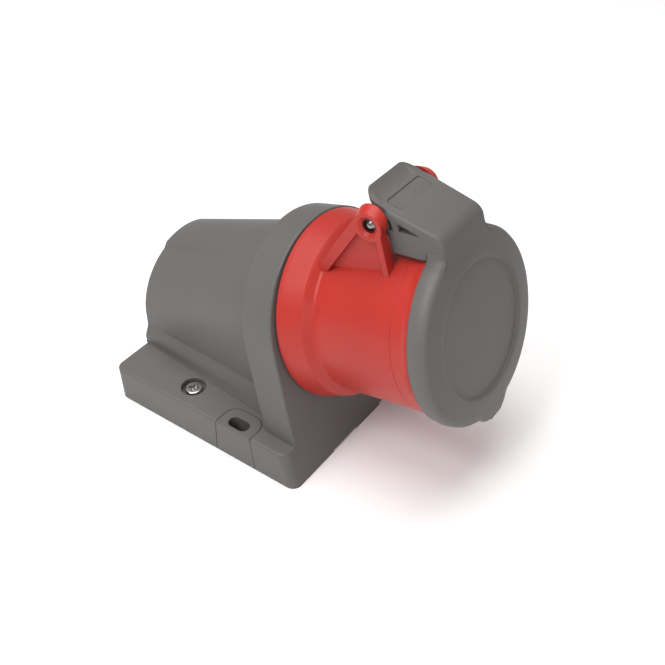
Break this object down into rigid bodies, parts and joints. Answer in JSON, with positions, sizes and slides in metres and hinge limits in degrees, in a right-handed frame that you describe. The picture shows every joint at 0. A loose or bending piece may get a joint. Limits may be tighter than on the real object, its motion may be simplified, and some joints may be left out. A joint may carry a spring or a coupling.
{
  "type": "pin and sleeve receptacle",
  "caption": "Wall-mounting pin and sleeve socket with a red leaning collar, an arched grey housing and a sprung hinged lid.",
  "frame": {"origin": "centre of the mounting face", "axes": "+Z away from the wall, +X to the side that the socket looks to, Y across"},
  "size_m": [0.1593, 0.104, 0.123],
  "materials": {
    "grey_plastic": "satin moulded",
    "red_plastic": "satin moulded",
    "dark_plastic": "satin moulded",
    "rubber_black": "matte",
    "rubber_grey": "matte",
    "contact_brass": "machined",
    "screw_steel": "zinc plated",
    "spring_steel": "drawn wire",
    "pin_chrome": "ground"
  },
  "bodies": {
    "housing": {"base_plate": "grey_plastic", "housing_cover": "grey_plastic", "housing_seal": "rubber_black", "cover_screws": "screw_steel", "entry_grommet": "rubber_grey", "socket_collar": "red_plastic", "flange_seal": "rubber_black", "collar_nut": "dark_plastic", "contact_carrier": "dark_plastic", "entry_plate": "dark_plastic", "contact_retainer": "dark_plastic", "retainer_screws": "screw_steel", "insert_clamp_ring": "dark_plastic", "contact_pe": "contact_brass", "contact_l1": "contact_brass", "contact_l2": "contact_brass", "contact_l3": "contact_brass", "contact_n": "contact_brass", "contact_springs": "spring_steel", "terminal_screws": "screw_steel", "hinge_pin": "pin_chrome", "lid_spring": "spring_steel"},
    "lid": {"lid": "grey_plastic", "lid_seal": "rubber_black"}
  },
  "joints": [
    {"name": "lid_hinge", "type": "hinge", "parent": "housing", "child": "lid", "pos_m": [0.06104, 0, 0.11282], "axis": [0, -1, 0], "range_deg": [0, 110], "stiffness_Nm_per_rad": 0.06, "springref_deg": -45.84, "deforming": ["lid_spring"]}
  ]
}
